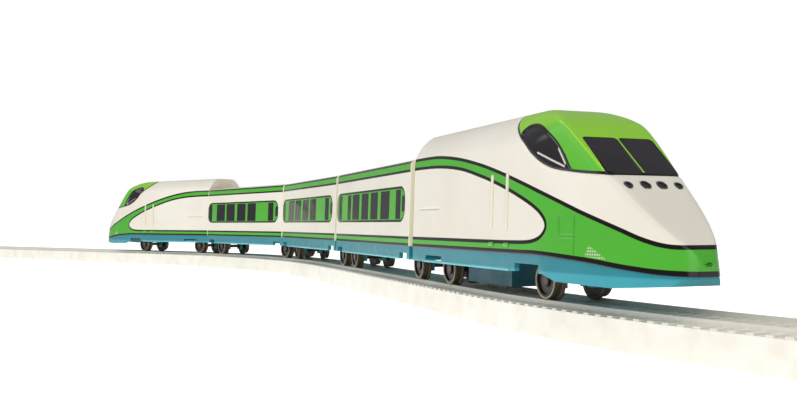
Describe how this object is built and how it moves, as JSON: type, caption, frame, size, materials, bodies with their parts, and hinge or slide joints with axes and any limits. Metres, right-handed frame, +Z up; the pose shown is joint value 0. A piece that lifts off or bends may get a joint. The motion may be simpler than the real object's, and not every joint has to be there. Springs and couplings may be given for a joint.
{
  "type": "electric train set",
  "caption": "Toy high-speed electric train with powered head car, coaches and tail car, coupled by drawbars on clip-together plastic track.",
  "frame": {"origin": "centre of the middle straight track section, on the underside of its bed", "axes": "+X along the middle straight, the way the head car faces; +Y left of that way; +Z up"},
  "size_m": [0.9313, 0.3543, 0.0658],
  "materials": {
    "track_plastic": "moulded, fine satin",
    "body_plastic": "moulded gloss with printed stripes",
    "hood_plastic": "gloss paint",
    "cab_glass": "polished dark smoke",
    "lamp_plastic": "clear gloss",
    "coach_glazing": "polished dark smoke",
    "chassis_plastic": "moulded satin",
    "wheel_plastic": "moulded satin, bright rim",
    "screw_steel": "zinc plated",
    "gear_plastic": "moulded nylon",
    "motor_steel": "plated",
    "box_plastic": "moulded satin",
    "inner_plastic": "moulded",
    "knob_plastic": "moulded satin",
    "cell_jacket": "printed jacket, plain",
    "contact_metal": "nickel plated spring strip"
  },
  "bodies": {
    "track": {"track_middle_straight": "track_plastic", "track_front_curve": "track_plastic", "track_rear_curve": "track_plastic", "track_rear_straight": "track_plastic", "track_half_straight": "track_plastic", "track_clips": "track_plastic"},
    "head_car": {"head_shell": "body_plastic", "head_cab_hood": "hood_plastic", "head_windscreen": "cab_glass", "head_side_windows": "cab_glass", "head_lamps": "lamp_plastic", "head_chassis": "chassis_plastic", "head_screws": "screw_steel", "gearbox_frame": "inner_plastic", "motor": "motor_steel", "equipment_box": "box_plastic", "power_switch": "inner_plastic", "battery_tray": "inner_plastic", "battery_cells": "cell_jacket", "battery_contacts": "contact_metal"},
    "head_outer_wheelset": {"head_outer_wheelset": "wheel_plastic"},
    "drive_wheelset": {"drive_wheelset": "wheel_plastic"},
    "compound_gear": {"compound_gear": "gear_plastic"},
    "motor_pinion": {"motor_pinion": "motor_steel"},
    "switch_knob": {"switch_knob": "knob_plastic"},
    "coach_1": {"coach_1_shell": "body_plastic", "coach_1_glazing": "coach_glazing", "coach_1_chassis": "chassis_plastic", "coach_1_screws": "screw_steel"},
    "coach_1_front_wheelset": {"coach_1_front_wheelset": "wheel_plastic"},
    "coach_1_rear_wheelset": {"coach_1_rear_wheelset": "wheel_plastic"},
    "coach_2": {"coach_2_shell": "body_plastic", "coach_2_glazing": "coach_glazing", "coach_2_chassis": "chassis_plastic", "coach_2_screws": "screw_steel"},
    "coach_2_front_wheelset": {"coach_2_front_wheelset": "wheel_plastic"},
    "coach_2_rear_wheelset": {"coach_2_rear_wheelset": "wheel_plastic"},
    "coach_3": {"coach_3_shell": "body_plastic", "coach_3_glazing": "coach_glazing", "coach_3_chassis": "chassis_plastic", "coach_3_screws": "screw_steel"},
    "coach_3_front_wheelset": {"coach_3_front_wheelset": "wheel_plastic"},
    "coach_3_rear_wheelset": {"coach_3_rear_wheelset": "wheel_plastic"},
    "tail_car": {"tail_shell": "body_plastic", "tail_cab_hood": "hood_plastic", "tail_windscreen": "cab_glass", "tail_side_windows": "cab_glass", "tail_lamps": "lamp_plastic", "tail_chassis": "chassis_plastic", "tail_screws": "screw_steel"},
    "tail_inner_wheelset": {"tail_inner_wheelset": "wheel_plastic"},
    "tail_outer_wheelset": {"tail_outer_wheelset": "wheel_plastic"},
    "drawbar_1": {"drawbar_1": "chassis_plastic"},
    "drawbar_2": {"drawbar_2": "chassis_plastic"},
    "drawbar_3": {"drawbar_3": "chassis_plastic"},
    "drawbar_4": {"drawbar_4": "chassis_plastic"}
  },
  "joints": [
    {"name": "train_run", "type": "slide", "parent": "track", "child": "coach_1", "axis": [1, 0, 0], "range_m": [-0.012, 0.012]},
    {"name": "head_run", "type": "hinge", "parent": "track", "child": "head_car", "pos_m": [0.07554, 0.6304, 0], "axis": [0, 0, 1], "range_deg": [-1.19, 1.19]},
    {"name": "coach_2_run", "type": "hinge", "parent": "track", "child": "coach_2", "pos_m": [-0.06946, -0.59932, 0], "axis": [0, 0, 1], "range_deg": [-1.24, 1.24]},
    {"name": "coach_3_run", "type": "hinge", "parent": "track", "child": "coach_3", "pos_m": [-0.1, -0.4, 0], "axis": [0, 0, 1], "range_deg": [-1.82, 1.82]},
    {"name": "tail_run", "type": "hinge", "parent": "track", "child": "tail_car", "pos_m": [-0.00138, -0.57346, 0], "axis": [0, 0, 1], "range_deg": [-1.24, 1.24]},
    {"name": "head_outer_wheelset_spin", "type": "hinge", "parent": "head_car", "child": "head_outer_wheelset", "pos_m": [0.14254, 0.00227, 0.01525], "axis": [-0.0339, 0.9994, 0], "range_deg": [-131, 131]},
    {"name": "drive_wheelset_spin", "type": "hinge", "parent": "head_car", "child": "drive_wheelset", "pos_m": [0.07568, 0, 0.01525], "axis": [-0.0339, 0.9994, 0], "range_deg": [-131, 131]},
    {"name": "coach_1_front_wheelset_spin", "type": "hinge", "parent": "coach_1", "child": "coach_1_front_wheelset", "pos_m": [0.0443, 0, 0.01525], "axis": [0, 1, 0], "range_deg": [-131, 131]},
    {"name": "coach_1_rear_wheelset_spin", "type": "hinge", "parent": "coach_1", "child": "coach_1_rear_wheelset", "pos_m": [-0.0472, 0, 0.01525], "axis": [0, 1, 0], "range_deg": [-131, 131]},
    {"name": "coach_2_front_wheelset_spin", "type": "hinge", "parent": "coach_2", "child": "coach_2_front_wheelset", "pos_m": [-0.06954, 0, 0.01525], "axis": [-0.051, 0.9987, 0], "range_deg": [-131, 131]},
    {"name": "coach_2_rear_wheelset_spin", "type": "hinge", "parent": "coach_2", "child": "coach_2_rear_wheelset", "pos_m": [-0.16092, -0.00466, 0.01525], "axis": [-0.051, 0.9987, 0], "range_deg": [-131, 131]},
    {"name": "coach_3_front_wheelset_spin", "type": "hinge", "parent": "coach_3", "child": "coach_3_front_wheelset", "pos_m": [-0.1828, -0.00865, 0.01525], "axis": [-0.3175, 0.9482, 0], "range_deg": [-131, 131]},
    {"name": "coach_3_rear_wheelset_spin", "type": "hinge", "parent": "coach_3", "child": "coach_3_rear_wheelset", "pos_m": [-0.26956, -0.03771, 0.01525], "axis": [-0.3175, 0.9482, 0], "range_deg": [-131, 131]},
    {"name": "tail_inner_wheelset_spin", "type": "hinge", "parent": "tail_car", "child": "tail_inner_wheelset", "pos_m": [-0.29734, -0.05207, 0.01525], "axis": [-0.5569, 0.8306, 0], "range_deg": [-131, 131]},
    {"name": "tail_outer_wheelset_spin", "type": "hinge", "parent": "tail_car", "child": "tail_outer_wheelset", "pos_m": [-0.35291, -0.08932, 0.01525], "axis": [-0.5569, 0.8306, 0], "range_deg": [-131, 131]},
    {"name": "compound_gear_spin", "type": "hinge", "parent": "head_car", "child": "compound_gear", "pos_m": [0.08223, 0.00022, 0.01984], "axis": [-0.0339, 0.9994, 0], "range_deg": [-217, 217]},
    {"name": "motor_pinion_spin", "type": "hinge", "parent": "head_car", "child": "motor_pinion", "pos_m": [0.08362, 0.00027, 0.02772], "axis": [-0.0339, 0.9994, 0], "range_deg": [-647, 647]},
    {"name": "switch_slide", "type": "slide", "parent": "head_car", "child": "switch_knob", "axis": [0.9994, 0.0339, 0], "range_m": [0, 0.004]},
    {"name": "drawbar_1_swing", "type": "hinge", "parent": "head_car", "child": "drawbar_1", "pos_m": [0.06049, -0.00052, 0.0187], "axis": [0, 0, 1], "range_deg": [-4, 4]},
    {"name": "drawbar_2_swing", "type": "hinge", "parent": "coach_1", "child": "drawbar_2", "pos_m": [-0.0534, 0, 0.0187], "axis": [0, 0, 1], "range_deg": [-4, 4]},
    {"name": "drawbar_3_swing", "type": "hinge", "parent": "coach_2", "child": "drawbar_3", "pos_m": [-0.16711, -0.00498, 0.0187], "axis": [0, 0, 1], "range_deg": [-4, 4]},
    {"name": "drawbar_4_swing", "type": "hinge", "parent": "coach_3", "child": "drawbar_4", "pos_m": [-0.27544, -0.03968, 0.0187], "axis": [0, 0, 1], "range_deg": [-4, 4]}
  ],
  "couplings": [
    {"joint": "head_run", "follows": "train_run", "rad_per_m": 1.5797},
    {"joint": "coach_2_run", "follows": "train_run", "rad_per_m": -1.6599},
    {"joint": "coach_3_run", "follows": "train_run", "rad_per_m": -2.5},
    {"joint": "tail_run", "follows": "train_run", "rad_per_m": -1.6643},
    {"joint": "head_outer_wheelset_spin", "follows": "train_run", "rad_per_m": 188.28},
    {"joint": "drive_wheelset_spin", "follows": "train_run", "rad_per_m": 187.9},
    {"joint": "coach_1_front_wheelset_spin", "follows": "train_run", "rad_per_m": 188.68},
    {"joint": "coach_1_rear_wheelset_spin", "follows": "train_run", "rad_per_m": 188.68},
    {"joint": "coach_2_front_wheelset_spin", "follows": "train_run", "rad_per_m": 187.7},
    {"joint": "coach_2_rear_wheelset_spin", "follows": "train_run", "rad_per_m": 188.43},
    {"joint": "coach_3_front_wheelset_spin", "follows": "train_run", "rad_per_m": 188.68},
    {"joint": "coach_3_rear_wheelset_spin", "follows": "train_run", "rad_per_m": 188.68},
    {"joint": "tail_inner_wheelset_spin", "follows": "train_run", "rad_per_m": 188.26},
    {"joint": "tail_outer_wheelset_spin", "follows": "train_run", "rad_per_m": 187.87},
    {"joint": "compound_gear_spin", "follows": "train_run", "rad_per_m": -313.16},
    {"joint": "motor_pinion_spin", "follows": "train_run", "rad_per_m": 939.48}
  ]
}
